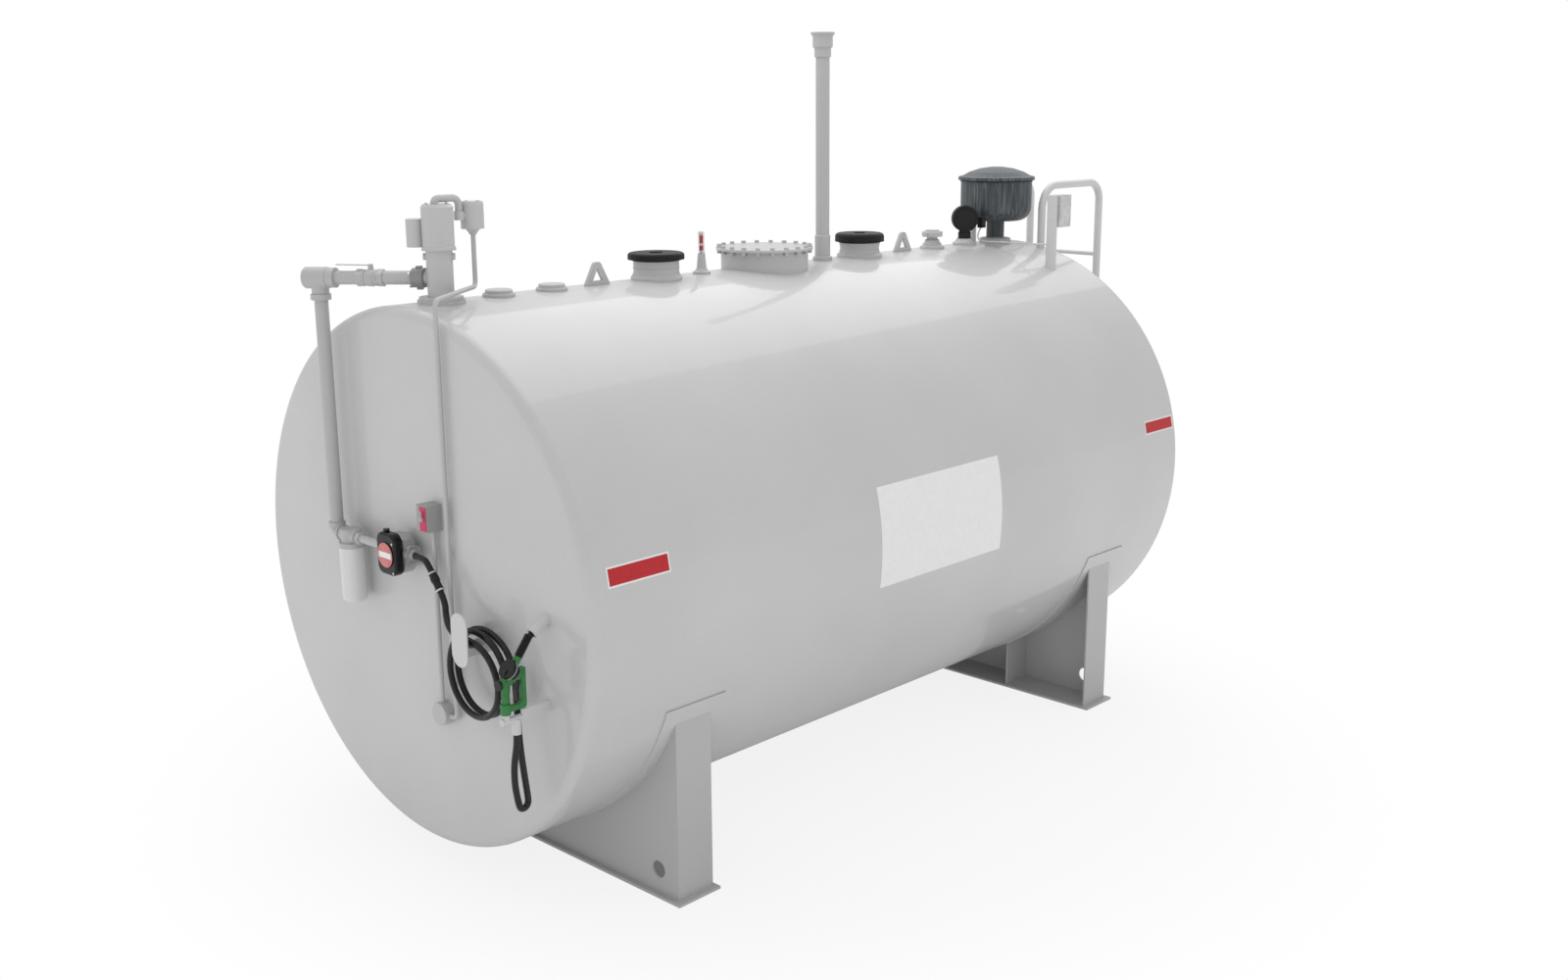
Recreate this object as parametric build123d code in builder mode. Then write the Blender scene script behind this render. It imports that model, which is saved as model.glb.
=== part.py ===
from build123d import *
import math
import os

os.makedirs("parts", exist_ok=True)

# Driving sizes of the tank, in millimetres
# X runs along the tank, the equipment head is at -X and the ladder is at +X.
# Z = 0 is the floor and the origin lies on it below the middle of the tank.
TANK_R = 1219.2
TANK_LENGTH = 4432.0
AXIS_Z = 1357.9
PLATE = 6.4
KNUCKLE = 47.0
HEAD_DEPTH = 78.0
TOP_Z = AXIS_Z + TANK_R
HEAD_X = TANK_LENGTH / 2
SHELL_LENGTH = TANK_LENGTH - 2 * HEAD_DEPTH

# Saddles
WEB_X = 1694.0
WEB_THICK = 10.0
WEB_HALF_WIDTH = 1110.0
RIB_INNER_X = 1488.5
RIB_Y = 562.0
FOOT_X = 1597.0
FOOT_LENGTH = 250.8
FOOT_WIDTH = 2284.0
FOOT_THICK = 12.7
WEAR_LENGTH = 348.0
WEAR_R = TANK_R + PLATE
WEAR_STOP_DEG = 21.0
WEB_HOLE_D = 80.0
WEB_HOLE_Y = 981.0
WEB_HOLE_Z = 121.0

# Stations of the top fittings along the tank
PUMP_X = -1997.0
PLUG_X = (-1691.0, -1391.0)
LUG_X = (-1121.0, 1142.0)
NEAR_VENT_X = -743.0
LEVEL_GAUGE_X = -438.0
MANWAY_X = 15.0
VENT_PIPE_X = 465.0
FAR_VENT_X = 770.0
FILL_X = 1415.0
TANK_GAUGE_X = 1723.0
SPILL_X = 2030.0

# Pipe sizes
TWO_INCH = 60.3
HOSE_D = 28.0
CONDUIT_D = 21.3


def save(piece, name):
    """Label one finished node and write it out."""
    piece.part.label = name
    export_step(piece.part, "parts/" + name + ".step")


def turning_plane(origin, direction):
    """Plane with X as the radius and Y along the axis of a turned piece."""
    along = Vector(direction).normalized()
    helper = Vector(0, 1, 0) if abs(along.Z) > 0.9 else Vector(0, 0, 1)
    radial = along.cross(helper).normalized()
    return Plane(origin=origin, x_dir=radial, z_dir=radial.cross(along))


def upright(x, y=0.0):
    """Turning plane of an upright piece, with heights above the floor."""
    return turning_plane((x, y, 0), (0, 0, 1))


def turned(plane, profile, bore=0.0):
    """Solid of revolution from radius and height pairs, closed along its axis."""
    low = profile[0][1]
    high = profile[-1][1]
    outline = [(bore, low)] + list(profile) + [(bore, high)]
    with BuildPart() as piece:
        with BuildSketch(plane):
            with BuildLine():
                Polyline(*outline, close=True)
            make_face()
        revolve(axis=Axis(plane.origin, plane.y_dir))
    return piece


def trim_to_shell():
    """Cut the piece being built to the outside of the tank's round shell."""
    with Locations(Location((0, 0, AXIS_Z), (0, 90, 0))):
        Cylinder(TANK_R, TANK_LENGTH + 600, mode=Mode.SUBTRACT)


def on_shell(x, profile, bore=0.0, y=0.0):
    """Turned fitting that stands on the shell, its foot cut to the curve."""
    blank = turned(upright(x, y), profile, bore)
    with BuildPart() as piece:
        add(blank.part)
        trim_to_shell()
    return piece


def swept(points, bends, diameter):
    """Round bar or hose along straight runs joined by tangent arcs."""
    with BuildPart() as piece:
        with BuildLine() as route:
            if bends:
                FilletPolyline(*points, radius=bends)
            else:
                Line(points[0], points[1])
        with BuildSketch(Plane(origin=route.line @ 0, z_dir=route.line % 0)):
            Circle(diameter / 2)
        sweep()
    return piece


def gathered(*pieces):
    """Several separate solids kept together as one node."""
    with BuildPart() as node:
        for piece in pieces:
            add(piece.part)
    return node


# Tank shell with the openings below its fittings
SHELL_OPENINGS = (
    (PUMP_X, 100.0),
    (NEAR_VENT_X, 200.0),
    (MANWAY_X, 430.0),
    (FAR_VENT_X, 200.0),
    (SPILL_X, 100.0),
)

with BuildPart() as tank_shell:
    with Locations(Location((0, 0, AXIS_Z), (0, 90, 0))):
        Cylinder(TANK_R, SHELL_LENGTH)
        Cylinder(TANK_R - PLATE, SHELL_LENGTH, mode=Mode.SUBTRACT)
    for opening_x, opening_d in SHELL_OPENINGS:
        with Locations((opening_x, 0, TOP_Z)):
            Cylinder(opening_d / 2, 400, mode=Mode.SUBTRACT)
save(tank_shell, "tank_shell")


def tank_head(side):
    """Flat flanged head with a rounded knuckle, open towards the shell."""
    face = Plane(origin=(side * HEAD_X, 0, AXIS_Z), x_dir=(0, 1, 0), z_dir=(side, 0, 0))
    with BuildPart(face) as head:
        Cylinder(TANK_R, HEAD_DEPTH, align=(Align.CENTER, Align.CENTER, Align.MAX))
        outer_face = head.faces().sort_by(Axis.X)[-1 if side > 0 else 0]
        fillet(outer_face.edges(), KNUCKLE)
        open_face = head.faces().sort_by(Axis.X)[0 if side > 0 else -1]
        offset(amount=-PLATE, openings=open_face)
    return head


near_head = tank_head(-1)
save(near_head, "near_head")
far_head = tank_head(1)
save(far_head, "far_head")


# Saddles: wear plates, webs, ribs and feet
def trim_to_wear_plate():
    """Cut the piece being built to the outside of the saddle's wear plate."""
    with Locations(Location((0, 0, AXIS_Z), (0, 90, 0))):
        Cylinder(WEAR_R, TANK_LENGTH, mode=Mode.SUBTRACT)


def wear_plate(side):
    """Curved plate between the shell and the saddle."""
    reach = WEAR_R * 2
    drop = math.sin(math.radians(WEAR_STOP_DEG)) * TANK_R
    middle = Plane.YZ.offset(side * FOOT_X - WEAR_LENGTH / 2)
    with BuildPart() as plate:
        with BuildSketch(middle):
            with Locations((0, AXIS_Z)):
                Circle(WEAR_R)
                Circle(TANK_R, mode=Mode.SUBTRACT)
            with Locations((0, AXIS_Z - drop)):
                Rectangle(reach, reach, align=(Align.CENTER, Align.MIN), mode=Mode.SUBTRACT)
        extrude(amount=WEAR_LENGTH)
    return plate


save(wear_plate(-1), "near_wear_plate")
save(wear_plate(1), "far_wear_plate")

with BuildPart() as saddle_webs:
    for side in (-1, 1):
        with Locations((side * (WEB_X - WEB_THICK / 2), 0, FOOT_THICK)):
            Box(
                WEB_THICK,
                2 * WEB_HALF_WIDTH,
                850,
                align=(Align.CENTER, Align.CENTER, Align.MIN),
            )
    trim_to_wear_plate()
    for side in (-1, 1):
        for hole_y in (-WEB_HOLE_Y, WEB_HOLE_Y):
            with Locations(Location((side * WEB_X, hole_y, WEB_HOLE_Z), (0, 90, 0))):
                Cylinder(WEB_HOLE_D / 2, 60, mode=Mode.SUBTRACT)
save(saddle_webs, "saddle_webs")

RIB_LENGTH = WEB_X - WEB_THICK - RIB_INNER_X
RIB_MIDDLE_X = RIB_INNER_X + RIB_LENGTH / 2
with BuildPart() as saddle_ribs:
    for side in (-1, 1):
        for rib_y in (-WEB_HALF_WIDTH + WEB_THICK / 2, -RIB_Y, RIB_Y, WEB_HALF_WIDTH - WEB_THICK / 2):
            with Locations((side * RIB_MIDDLE_X, rib_y, FOOT_THICK)):
                Box(
                    RIB_LENGTH,
                    WEB_THICK,
                    850,
                    align=(Align.CENTER, Align.CENTER, Align.MIN),
                )
    trim_to_wear_plate()
save(saddle_ribs, "saddle_ribs")

with BuildPart() as saddle_feet:
    with Locations((-FOOT_X, 0, 0), (FOOT_X, 0, 0)):
        Box(
            FOOT_LENGTH,
            FOOT_WIDTH,
            FOOT_THICK,
            align=(Align.CENTER, Align.CENTER, Align.MIN),
        )
save(saddle_feet, "saddle_feet")


# Manway with its flat bolted cover
NECK_FOOT_Z = 2400.0
MANWAY_NECK_TOP = 2669.0
MANWAY_COVER_R = 252.0
manway_neck = on_shell(
    MANWAY_X, ((226.5, NECK_FOOT_Z), (226.5, MANWAY_NECK_TOP)), bore=216.5
)
save(manway_neck, "manway_neck")

with BuildPart() as manway_cover:
    with Locations((MANWAY_X, 0, MANWAY_NECK_TOP)):
        Cylinder(MANWAY_COVER_R, 13, align=(Align.CENTER, Align.CENTER, Align.MIN))
    chamfer(manway_cover.edges().group_by(Axis.Z)[-1], 2)
save(manway_cover, "manway_cover")


# Emergency vents: a neck on the shell and a cap that lifts
VENT_GAP = 5.0
NEAR_VENT_NECK_TOP = 2668.0
FAR_VENT_NECK_TOP = 2655.0
near_vent_neck = on_shell(
    NEAR_VENT_X,
    (
        (126, 2540),
        (126, 2586),
        (116, 2600),
        (112, 2612),
        (112, NEAR_VENT_NECK_TOP),
    ),
    bore=100,
)
save(near_vent_neck, "near_vent_neck")
far_vent_neck = on_shell(
    FAR_VENT_X,
    (
        (125, 2540),
        (125, 2588),
        (113, 2598),
        (107, 2622),
        (113, FAR_VENT_NECK_TOP),
    ),
    bore=100,
)
save(far_vent_neck, "far_vent_neck")


def vent_cap(x, neck_top, radius, height):
    """Weighted cap with a rounded shoulder and a low crown."""
    low = neck_top + VENT_GAP
    with BuildPart() as cap:
        with Locations((x, 0, low)):
            Cylinder(radius, height, align=(Align.CENTER, Align.CENTER, Align.MIN))
        fillet(cap.edges().group_by(Axis.Z)[-1], height * 0.45)
        with Locations((x, 0, low + height)):
            Cylinder(radius * 0.22, 5, align=(Align.CENTER, Align.CENTER, Align.MIN))
    return cap


near_vent_cap = vent_cap(NEAR_VENT_X, NEAR_VENT_NECK_TOP, 138.5, 32)
save(near_vent_cap, "near_vent_cap")
far_vent_cap = vent_cap(FAR_VENT_X, FAR_VENT_NECK_TOP, 135.5, 46)
save(far_vent_cap, "far_vent_cap")


# Upright vent pipe with its weather cap
VENT_PIPE_TOP = 3638.0
vent_pipe = on_shell(
    VENT_PIPE_X,
    (
        (52.5, 2550),
        (52.5, 2596),
        (41.5, 2600),
        (41.5, 2711),
        (36.8, 2711),
        (36.8, VENT_PIPE_TOP),
    ),
)
save(vent_pipe, "vent_pipe")

vent_pipe_cap = turned(
    upright(VENT_PIPE_X),
    (
        (44, VENT_PIPE_TOP),
        (44, 3682),
        (53, 3690),
        (53, 3742),
        (63.5, 3756),
        (63.5, 3764),
    ),
)
save(vent_pipe_cap, "vent_pipe_cap")


# Lifting lugs: upright triangular plates with a rounded tip and a hole
LUG_HALF_BASE = 72.5
LUG_THICK = 16.0
LUG_TOP = 2686.0
LUG_FOOT = 2560.0


def lifting_lug(x):
    """One plate standing along the top of the shell."""
    with BuildPart() as lug:
        with BuildSketch(Plane.XZ.offset(-LUG_THICK / 2)):
            with BuildLine():
                Polyline(
                    (x - LUG_HALF_BASE, LUG_FOOT),
                    (x + LUG_HALF_BASE, LUG_FOOT),
                    (x + LUG_HALF_BASE, TOP_Z + 8),
                    (x + 18, LUG_TOP),
                    (x - 18, LUG_TOP),
                    (x - LUG_HALF_BASE, TOP_Z + 8),
                    close=True,
                )
            face = make_face()
            fillet(face.vertices().group_by(Axis.Z)[-1], 17)
            with BuildLine():
                Polyline(
                    (x - 30, TOP_Z + 22),
                    (x + 30, TOP_Z + 22),
                    (x, LUG_TOP - 28),
                    close=True,
                )
            make_face(mode=Mode.SUBTRACT)
        extrude(amount=LUG_THICK)
        trim_to_shell()
    return lug


lifting_lugs = gathered(lifting_lug(LUG_X[0]), lifting_lug(LUG_X[1]))
save(lifting_lugs, "lifting_lugs")


# Plugged spare openings
def spare_plug(x):
    """Weld ring with a round plug screwed into it."""
    return on_shell(
        x,
        (
            (73.5, 2555),
            (73.5, 2588),
            (70.5, 2592),
            (61.5, 2592),
            (61.5, 2604),
            (57.5, 2608),
        ),
    )


spare_plugs = gathered(spare_plug(PLUG_X[0]), spare_plug(PLUG_X[1]))
save(spare_plugs, "spare_plugs")


# Fill opening with its stepped adapter and cap
fill_adapter = on_shell(
    FILL_X,
    (
        (71, 2555),
        (71, 2588),
        (55, 2594),
        (55, 2604),
        (44, 2612),
        (42, 2624),
        (30.5, 2632),
        (30.5, 2645),
    ),
)
save(fill_adapter, "fill_adapter")

with BuildPart() as fill_cap:
    with Locations((FILL_X, 0, 2645)):
        Cylinder(59.5, 30, align=(Align.CENTER, Align.CENTER, Align.MIN))
    fillet(fill_cap.edges().group_by(Axis.Z)[-1], 8)
    with Locations((FILL_X, 0, 2675)):
        Cylinder(40, 7, align=(Align.CENTER, Align.CENTER, Align.MIN))
    with Locations((FILL_X - 58, 0, 2660), (FILL_X + 58, 0, 2660)):
        Box(16, 26, 16)
save(fill_cap, "fill_cap")


# Float gauge with a clear dome
level_gauge = on_shell(
    LEVEL_GAUGE_X,
    (
        (44, 2560),
        (44, 2588),
        (34, 2592),
        (25, 2606),
        (22.5, 2630),
        (19, 2668),
        (19, 2677),
    ),
)
save(level_gauge, "level_gauge")

with BuildPart() as level_gauge_dome:
    with Locations((LEVEL_GAUGE_X, 0, 2677)):
        Cylinder(17, 110, align=(Align.CENTER, Align.CENTER, Align.MIN))
    fillet(level_gauge_dome.edges().group_by(Axis.Z)[-1], 12)
save(level_gauge_dome, "level_gauge_dome")


# Round dial gauge on its tapered fitting
tank_gauge_fitting = on_shell(
    TANK_GAUGE_X,
    (
        (70, 2550),
        (70, 2590),
        (58, 2596),
        (48, 2606),
        (46, 2614),
    ),
)
save(tank_gauge_fitting, "tank_gauge_fitting")

GAUGE_Z = 2730.0
GAUGE_DEPTH = 62.0
gauge_face = Plane(
    origin=(TANK_GAUGE_X, 0, GAUGE_Z), x_dir=(1, -1, 0), z_dir=(-1, -1, 0)
)
gauge_neck = turned(
    upright(TANK_GAUGE_X), ((37.5, 2614), (37.5, 2648), (32, 2656), (32, 2700))
)
with BuildPart() as tank_gauge:
    add(gauge_neck.part)
    with BuildSketch(gauge_face.offset(-GAUGE_DEPTH / 2)):
        Circle(76.5)
    extrude(amount=GAUGE_DEPTH)
    with BuildSketch(gauge_face.offset(GAUGE_DEPTH / 2)):
        Circle(76.5)
        Circle(66, mode=Mode.SUBTRACT)
    extrude(amount=5)
    with Locations((TANK_GAUGE_X + 80, -65, 2705)):
        Box(35, 36, 60)
    with Locations(Plane(origin=(TANK_GAUGE_X + 55, -52, 2705), z_dir=(1, -0.6, 0)).location):
        Cylinder(9, 40)
save(tank_gauge, "tank_gauge")


# Spill container on the fill opening at the ladder end
SPILL_R = 213.0
SPILL_WALL = 5.0
SPILL_LOW = 2704.0
SPILL_RIM = 2940.0
LID_LOW = SPILL_RIM + 5.0
spill_neck = on_shell(
    SPILL_X,
    (
        (94, 2550),
        (94, 2596),
        (84, 2600),
        (53.5, 2604),
        (53.5, SPILL_LOW),
    ),
)
save(spill_neck, "spill_neck")

with BuildPart() as spill_container:
    with Locations((SPILL_X, 0, SPILL_LOW)):
        Cylinder(SPILL_R, SPILL_RIM - SPILL_LOW, align=(Align.CENTER, Align.CENTER, Align.MIN))
    fillet(spill_container.edges().group_by(Axis.Z)[0], 80)
    offset(amount=-SPILL_WALL, openings=spill_container.faces().sort_by(Axis.Z)[-1])
save(spill_container, "spill_container")

LID_R = 229.0
spill_lid = turned(
    upright(SPILL_X),
    (
        (LID_R, LID_LOW),
        (LID_R, LID_LOW + 17),
        (222, LID_LOW + 21),
        (205, LID_LOW + 24),
        (160, LID_LOW + 48),
        (100, LID_LOW + 67),
        (40, LID_LOW + 76),
        (0.5, LID_LOW + 77),
    ),
)
save(spill_lid, "spill_lid")


# Submersible pump: riser, head and junction box
PUMP_FOOT = 2803.0
riser_blank = turned(
    upright(PUMP_X),
    (
        (104, 2540),
        (104, 2590),
        (95.5, 2590),
        (95.5, 2603),
        (57.2, 2603),
        (57.2, PUMP_FOOT),
    ),
)
with BuildPart() as pump_riser:
    add(riser_blank.part)
    with Locations(Plane(origin=(PUMP_X, 0, 2775), z_dir=(1, -1, 0)).location):
        Cylinder(15, 136)
    trim_to_shell()
save(pump_riser, "pump_riser")

DETECTOR_X = PUMP_X - 58.0
DETECTOR_Y = 86.0
pump_blank = turned(
    upright(PUMP_X),
    (
        (73, PUMP_FOOT),
        (73, 2815),
        (69, 2819),
        (69, 2986),
        (60, 2998),
    ),
)
with BuildPart() as pump_head:
    add(pump_blank.part)
    with Locations((DETECTOR_X, DETECTOR_Y, 2815)):
        Cylinder(38.5, 120, align=(Align.CENTER, Align.CENTER, Align.MIN))
save(pump_head, "pump_head")

JUNCTION_X = -1815.0
ARCH_END_X = -1884.0
junction_blank = turned(
    upright(JUNCTION_X),
    (
        (16, 2858),
        (20, 2868),
        (34, 2884),
        (51, 2884),
        (51, 2990),
        (47, 3002),
    ),
)
with BuildPart() as pump_junction_box:
    add(junction_blank.part)
    with Locations(Location(((JUNCTION_X + ARCH_END_X) / 2, 0, 2943), (0, 90, 0))):
        Cylinder(18, JUNCTION_X - ARCH_END_X)
    with Locations((ARCH_END_X, 0, 2943)):
        Cylinder(22, 38)
save(pump_junction_box, "pump_junction_box")


# Conduits: over the pump, along the top and down the near head
CONDUIT_X = -2240.0
MAIN_CONDUIT_Y = -302.0
SWITCH_Y = -198.0
SWITCH_LOW = 1641.0
BOX_Z = 805.0
arch_conduit = swept(
    (
        (PUMP_X - 12, 0, 2998),
        (PUMP_X - 12, 0, 3020.5),
        (ARCH_END_X, 0, 3020.5),
        (ARCH_END_X, 0, 2962),
    ),
    (20, 34),
    33.0,
)
main_conduit = swept(
    (
        (JUNCTION_X, 0, 2858),
        (JUNCTION_X, 0, 2632),
        (CONDUIT_X, MAIN_CONDUIT_Y, 2632),
        (CONDUIT_X, MAIN_CONDUIT_Y, BOX_Z),
        (CONDUIT_X, SWITCH_Y - 53, BOX_Z),
    ),
    (30, 40, 30),
    CONDUIT_D,
)
switch_conduit = swept(
    ((CONDUIT_X, SWITCH_Y, SWITCH_LOW), (CONDUIT_X, SWITCH_Y, BOX_Z + 53)), (), CONDUIT_D
)
conduits = gathered(arch_conduit, main_conduit, switch_conduit)
save(conduits, "conduits")

with BuildPart() as conduit_box:
    with Locations(Location((-HEAD_X - 25, SWITCH_Y, BOX_Z), (0, 90, 0))):
        Cylinder(53, 50)
    fillet(conduit_box.edges().group_by(Axis.X)[0], 5)
    with Locations((CONDUIT_X, SWITCH_Y + 53, BOX_Z)):
        Box(30, 22, 30)
save(conduit_box, "conduit_box")


# Discharge line: from the riser out over the near head
LINE_Z = 2684.0
LINE_END_Z = 2673.0
DROP_TOP = 2577.0
DOWN_X = -2290.0
DOWN_Y = 490.0
line_start = Vector(PUMP_X, 0, LINE_Z)
line_end = Vector(DOWN_X, DOWN_Y, LINE_END_Z)
line_way = (line_end - line_start).normalized()
line_plane = turning_plane(line_start, line_way)
PIPE_R = TWO_INCH / 2


def along_line(distance, rise=0.0):
    """Point on the discharge line at a distance from the riser's axis."""
    return line_start + line_way * distance + Vector(0, 0, rise)


union_blank = turned(
    line_plane,
    (
        (PIPE_R, 30),
        (PIPE_R, 68),
        (42.5, 70),
        (42.5, 124),
        (PIPE_R, 126),
        (PIPE_R, 290),
    ),
)
with BuildPart() as riser_side:
    add(union_blank.part)
    with BuildSketch(Plane(origin=along_line(261), x_dir=(0, 0, 1), z_dir=line_way)):
        RegularPolygon(38, 6)
    extrude(amount=29)
    with BuildSketch(Plane(origin=along_line(84), x_dir=(0, 0, 1), z_dir=line_way)):
        Rectangle(102, 20)
    extrude(amount=24)
    with Locations((PUMP_X, 0, LINE_Z)):
        Cylinder(57.2, 200, mode=Mode.SUBTRACT)
tee_side = turned(line_plane, ((PIPE_R, 390), (PIPE_R, 492)))
discharge_pipe = gathered(riser_side, tee_side)
save(discharge_pipe, "discharge_pipe")

VALVE_AT = 324.0
valve_blank = turned(
    line_plane,
    (
        (36, 290),
        (36, 300),
        (33, 302),
        (38, 313),
        (38, 335),
        (33, 347),
        (36, 349),
        (36, 359),
    ),
)
with BuildPart() as ball_valve:
    add(valve_blank.part)
    with BuildSketch(Plane(origin=along_line(359), x_dir=(0, 0, 1), z_dir=line_way)):
        RegularPolygon(38, 6)
    extrude(amount=31)
    with Locations(along_line(VALVE_AT, 30)):
        Cylinder(12, 20, align=(Align.CENTER, Align.CENTER, Align.MIN))
save(ball_valve, "ball_valve")

LEVER_LENGTH = 165.0
LEVER_LOW = 2730.0
lever_turn = math.degrees(math.atan2(line_way.Y, line_way.X))
stem = along_line(VALVE_AT)
with BuildPart() as valve_lever:
    with Locations(Location((stem.X, stem.Y, LEVER_LOW), (0, 0, lever_turn))):
        Cylinder(11, 7, align=(Align.CENTER, Align.CENTER, Align.MIN))
        Box(LEVER_LENGTH, 18, 4, align=(Align.MIN, Align.CENTER, Align.MIN))
    fillet(valve_lever.edges().filter_by(Axis.Z).sort_by(Axis.Y)[-2:], 8)
save(valve_lever, "valve_lever")

tee_blank = turned(
    line_plane,
    (
        (44, 492),
        (44, 528),
        (47.5, 530),
        (47.5, 634),
        (43, 640),
    ),
)
with BuildPart() as discharge_tee:
    add(tee_blank.part)
    with Locations((DOWN_X, DOWN_Y, DROP_TOP)):
        Cylinder(38, LINE_END_Z - DROP_TOP, align=(Align.CENTER, Align.CENTER, Align.MIN))
        Cylinder(45, 25, align=(Align.CENTER, Align.CENTER, Align.MIN))
save(discharge_tee, "discharge_tee")

FILTER_Y = 376.0
FILTER_Z = 1520.0
down_bar = swept(
    (
        (DOWN_X, DOWN_Y, DROP_TOP),
        (DOWN_X, DOWN_Y, FILTER_Z),
        (DOWN_X, FILTER_Y + 60, FILTER_Z),
    ),
    (30.5,),
    TWO_INCH,
)
with BuildPart() as down_pipe:
    add(down_bar.part)
    with Locations((DOWN_X, DOWN_Y, FILTER_Z + 34)):
        Cylinder(38, 24)
    with Locations(Location((DOWN_X, FILTER_Y + 72, FILTER_Z), (90, 0, 0))):
        Cylinder(38, 16)
save(down_pipe, "down_pipe")


# Spin-on filter under its head
with BuildPart() as filter_head:
    with Locations((DOWN_X, FILTER_Y, 1470)):
        Cylinder(58, 22, align=(Align.CENTER, Align.CENTER, Align.MIN))
        Cylinder(46, 84, align=(Align.CENTER, Align.CENTER, Align.MIN))
    fillet(filter_head.edges().group_by(Axis.Z)[-1], 8)
    with Locations(Location((DOWN_X, FILTER_Y, FILTER_Z), (90, 0, 0))):
        Cylinder(34, 120)
save(filter_head, "filter_head")

filter_canister = turned(
    upright(DOWN_X, FILTER_Y),
    (
        (36, 1215),
        (46, 1218),
        (54, 1227),
        (56.5, 1242),
        (58, 1452),
        (58, 1470),
    ),
)
save(filter_canister, "filter_canister")


# Meter: pipe from the filter, body and rounded cover
METER_X = DOWN_X
with BuildPart() as meter_pipe:
    with Locations(Location((METER_X, 195.5, FILTER_Z), (90, 0, 0))):
        Cylinder(19, 241)
    with BuildSketch(Plane(origin=(METER_X, 316, FILTER_Z), x_dir=(1, 0, 0), z_dir=(0, -1, 0))):
        RegularPolygon(30, 6)
    extrude(amount=28)
save(meter_pipe, "meter_pipe")

COVER_BACK = -2310.0
COVER_FRONT = -2350.0
COVER_Y = 9.5
with BuildPart() as meter_body:
    with BuildSketch(Plane.YZ.offset(COVER_BACK)):
        with Locations((0, 1513)):
            RectangleRounded(150, 170, 45)
    extrude(amount=62)
    fillet(meter_body.edges().group_by(Axis.X)[-1], 12)
    with Locations(Location((METER_X + 10, -98, FILTER_Z), (90, 0, 0))):
        Cylinder(26, 54)
    with Locations(Location((METER_X + 12, -85, FILTER_Z), (90, 0, 0))):
        Cylinder(40, 24)
save(meter_body, "meter_body")

with BuildPart() as meter_cover:
    with BuildSketch(Plane.YZ.offset(COVER_FRONT)):
        with Locations((COVER_Y, 1514)):
            RectangleRounded(143, 188, 40)
    extrude(amount=COVER_BACK - COVER_FRONT)
    fillet(meter_cover.edges().group_by(Axis.X)[0], 12)
    with Locations(Location((COVER_FRONT - 1, COVER_Y, 1511), (0, 90, 0))):
        Cylinder(56.5, 6)
    with Locations((-2322, 36, 1610)):
        Cylinder(14, 18)
save(meter_cover, "meter_cover")


# Hose: from the meter through the breakaway, round the hanger to the swivel
HOSE_X = -2290.0
BREAK_TOP = (HOSE_X, -245.0, 1470.0)
BREAK_LOW = (HOSE_X, -302.0, 1397.0)
COIL_Y = -552.0
COIL_Z = 1091.0
COIL_R = 190.0
COIL_FIRST_R = (158.0, 164.0, 173.0, 183.0)
COIL_STEPS = 12
COIL_START_X = -2338.0
COIL_PITCH = 40.0
COIL_END_STEP = 25
SWIVEL_END = (-2389.0, -925.0, 953.0)


def bend_radii(points):
    """Arc radius at each corner from the shorter run beside it."""
    radii = []
    for before, corner, after in zip(points, points[1:], points[2:]):
        run_in = Vector(*corner) - Vector(*before)
        run_out = Vector(*after) - Vector(*corner)
        half_turn = math.radians(run_in.get_angle(run_out)) / 2
        shorter = min(run_in.length, run_out.length)
        radii.append(0.45 * shorter / math.tan(half_turn))
    return radii


def coil_point(step):
    """Point on the coil, clockwise from its top as seen from outside."""
    angle = 2 * math.pi * step / COIL_STEPS
    radius = COIL_FIRST_R[step] if step < len(COIL_FIRST_R) else COIL_R
    return (
        COIL_START_X + COIL_PITCH * step / COIL_STEPS,
        COIL_Y - radius * math.sin(angle),
        COIL_Z + radius * math.cos(angle),
    )


break_way = (Vector(*BREAK_LOW) - Vector(*BREAK_TOP)).normalized()
above_break = Vector(*BREAK_TOP) - break_way * 42
below_break = Vector(*BREAK_LOW) + break_way * 45
coil_leaves = Vector(-2290.0, -800.0, 1110.0)
leg_point = Vector(-2330.0, -856.0, 1004.0)
hose_joint = coil_leaves * 0.6 + leg_point * 0.4
supply_points = (
    (HOSE_X, -125.0, FILTER_Z),
    (HOSE_X, -188.0, FILTER_Z),
    tuple(above_break),
    BREAK_TOP,
)
coil_points = [
    BREAK_LOW,
    tuple(below_break),
    (-2308.0, -358.0, 1312.0),
    (-2328.0, -396.0, 1277.0),
    (-2338.0, -446.0, 1254.0),
    (-2338.0, -500.0, 1248.0),
]
coil_points += [coil_point(step) for step in range(COIL_END_STEP + 1)]
coil_points += [(-2262.0, -735.0, 1200.0), tuple(coil_leaves), tuple(hose_joint)]

# Turn at the bottom of the hanging loop
LOOP_X = -2355.0
LOOP_Z = 640.0
LOOP_CORNER_R = 29.4
LOOP_CORNERS = 5
loop_turn = []
for corner in range(LOOP_CORNERS):
    corner_angle = math.radians(-151 + 36 * corner)
    corner_x = LOOP_X + LOOP_CORNER_R * math.cos(corner_angle)
    corner_z = LOOP_Z + LOOP_CORNER_R * math.sin(corner_angle)
    loop_turn.append((corner_x, -911.0 + 3 * corner, corner_z))
loop_turn.reverse()
loop_points = [
    tuple(hose_joint),
    tuple(leg_point),
    (-2346.0, -882.0, 921.0),
    (-2344.0, -887.0, 850.0),
    (-2337.0, -890.0, 770.0),
    (-2330.0, -895.0, 690.0),
]
loop_points += loop_turn
loop_points += [
    (-2396.0, -914.0, 695.0),
    (-2404.0, -917.0, 750.0),
    (-2404.0, -920.0, 825.0),
    (-2389.0, -925.0, 908.0),
    SWIVEL_END,
]


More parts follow.
